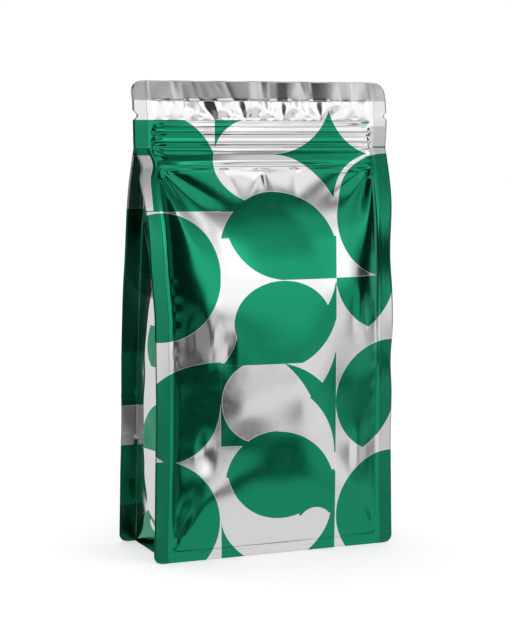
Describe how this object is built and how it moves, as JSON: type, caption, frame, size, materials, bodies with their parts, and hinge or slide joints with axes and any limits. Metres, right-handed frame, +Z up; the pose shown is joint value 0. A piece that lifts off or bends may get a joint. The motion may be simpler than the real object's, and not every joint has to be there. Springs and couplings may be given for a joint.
{
  "type": "foil bag",
  "caption": "Shut foil pouch that stands on a flat bottom, with gusseted sides, sealed edges, a press-to-close zip and tear notches.",
  "frame": {"origin": "middle of the flat bottom, on the surface that the bag stands on", "axes": "+Z up through the mouth of the bag, -Y towards the front panel, +X to the right seen from the front"},
  "size_m": [0.15, 0.0864, 0.265],
  "materials": {
    "printed_foil": "satin printed metal film, green on silver"
  },
  "bodies": {
    "root": {"foil_bag": "printed_foil"}
  },
  "joints": []
}
